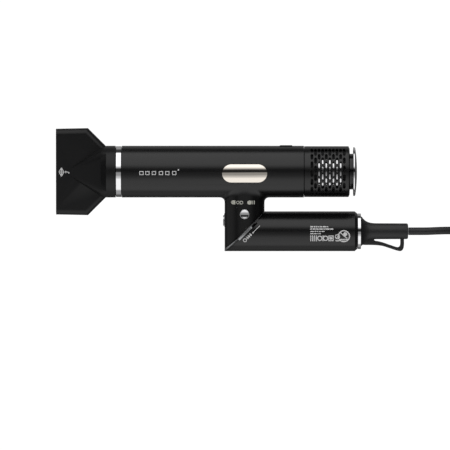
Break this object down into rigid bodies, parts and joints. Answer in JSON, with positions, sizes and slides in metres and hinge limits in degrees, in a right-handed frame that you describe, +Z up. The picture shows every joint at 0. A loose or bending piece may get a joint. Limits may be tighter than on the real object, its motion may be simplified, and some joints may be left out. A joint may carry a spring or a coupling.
{
  "type": "hair dryer",
  "caption": "Folding hair dryer: straight round barrel with a flat slot nozzle, perforated tail filter, slim handle folded along it on a 45 degree joint, and a stored mains lead.",
  "frame": {"origin": "middle of the dryer's footprint on the surface it lies on, at that surface, without its lead", "axes": "+X along barrel and folded handle, from nozzle to rear cap and cord; +Y from the handle to the barrel; +Z up, out of the side with the mode button"},
  "size_m": [0.4856, 0.1505, 0.0483],
  "materials": {
    "matte_black": "fine moulded texture",
    "gloss_black": "polished",
    "rubber_black": "satin",
    "chrome_trim": "mirror polished",
    "satin_steel": "satin",
    "steel_mesh": "bright",
    "brass_part": "bright",
    "mica_sheet": "matt",
    "circuit_board": "solder mask",
    "white_plastic": "matt",
    "light_pipe": "clear"
  },
  "bodies": {
    "handle": {"handle_shell": "matte_black", "handle_end_cap": "matte_black", "handle_end_ring": "chrome_trim", "strain_relief": "rubber_black", "control_board": "circuit_board", "capacitor": "gloss_black", "choke": "brass_part", "relay": "gloss_black", "clamp_base": "matte_black", "cord_clamp": "matte_black", "clamp_screw_left": "satin_steel", "clamp_screw_right": "satin_steel", "inner_lead": "rubber_black", "hinge_ring_handle": "satin_steel", "hinge_hub": "satin_steel", "hinge_washer": "satin_steel", "hinge_nut": "brass_part", "mains_cord": "rubber_black", "cord_coil": "rubber_black", "cord_tie": "rubber_black", "cord_tail": "rubber_black", "plug_strain_relief": "rubber_black", "plug_body": "rubber_black", "plug_pin_left": "chrome_trim", "plug_pin_right": "chrome_trim"},
    "barrel": {"barrel_shell": "matte_black", "front_ring": "chrome_trim", "badge_plate": "chrome_trim", "outlet_spigot": "matte_black", "outlet_grille": "matte_black", "hinge_ring_neck": "satin_steel", "hinge_plate": "satin_steel", "control_bezel": "gloss_black", "status_light": "light_pipe", "button_board": "circuit_board", "power_switch_block": "white_plastic", "heater_sleeve": "mica_sheet", "heater_frame": "mica_sheet", "heater_coil": "satin_steel", "thermal_fuse": "white_plastic", "ion_emitter": "white_plastic", "fan_shroud": "matte_black", "motor_can": "satin_steel"},
    "nozzle_ring": {"nozzle_snap_ring": "satin_steel"},
    "nozzle": {"nozzle_shell": "matte_black"},
    "filter_cover": {"tail_shell": "matte_black", "filter_mesh": "steel_mesh", "rear_hub": "gloss_black", "rear_cap": "chrome_trim"},
    "impeller": {"impeller": "gloss_black"},
    "mode_button": {"mode_button": "chrome_trim"},
    "power_button": {"power_button": "chrome_trim"},
    "cool_button": {"cool_button": "chrome_trim"},
    "filter_latch": {"filter_latch": "matte_black"},
    "fold_latch": {"fold_latch": "satin_steel"}
  },
  "joints": [
    {"name": "fold_hinge", "type": "hinge", "parent": "handle", "child": "barrel", "pos_m": [0.01155, -0.0387, 0.024], "axis": [0.7071, -0.7071, 0], "range_deg": [0, 180]},
    {"name": "nozzle_pull", "type": "slide", "parent": "barrel", "child": "nozzle_ring", "axis": [-1, 0, 0], "range_m": [0, 0.03]},
    {"name": "nozzle_turn", "type": "hinge", "parent": "nozzle_ring", "child": "nozzle", "pos_m": [-0.11145, 0.0168, 0.024], "axis": [1, 0, 0], "continuous": true},
    {"name": "filter_pull", "type": "slide", "parent": "barrel", "child": "filter_cover", "axis": [1, 0, 0], "range_m": [0, 0.05]},
    {"name": "fan_spin", "type": "hinge", "parent": "barrel", "child": "impeller", "pos_m": [0.05655, 0.0168, 0.024], "axis": [1, 0, 0], "continuous": true},
    {"name": "mode_press", "type": "slide", "parent": "barrel", "child": "mode_button", "axis": [0, 0, -1], "range_m": [0, 0.0008], "stiffness_N_per_m": 500},
    {"name": "power_press", "type": "slide", "parent": "barrel", "child": "power_button", "axis": [1, 0, 0], "range_m": [0, 0.0008], "stiffness_N_per_m": 500},
    {"name": "cool_press", "type": "slide", "parent": "barrel", "child": "cool_button", "axis": [1, 0, 0], "range_m": [0, 0.0008], "stiffness_N_per_m": 500},
    {"name": "filter_latch_press", "type": "slide", "parent": "barrel", "child": "filter_latch", "axis": [0, -1, 0], "range_m": [0, 0.0008], "stiffness_N_per_m": 500},
    {"name": "fold_latch_slide", "type": "slide", "parent": "handle", "child": "fold_latch", "axis": [0.7071, 0.7071, 0], "range_m": [0, 0.004], "stiffness_N_per_m": 300}
  ]
}
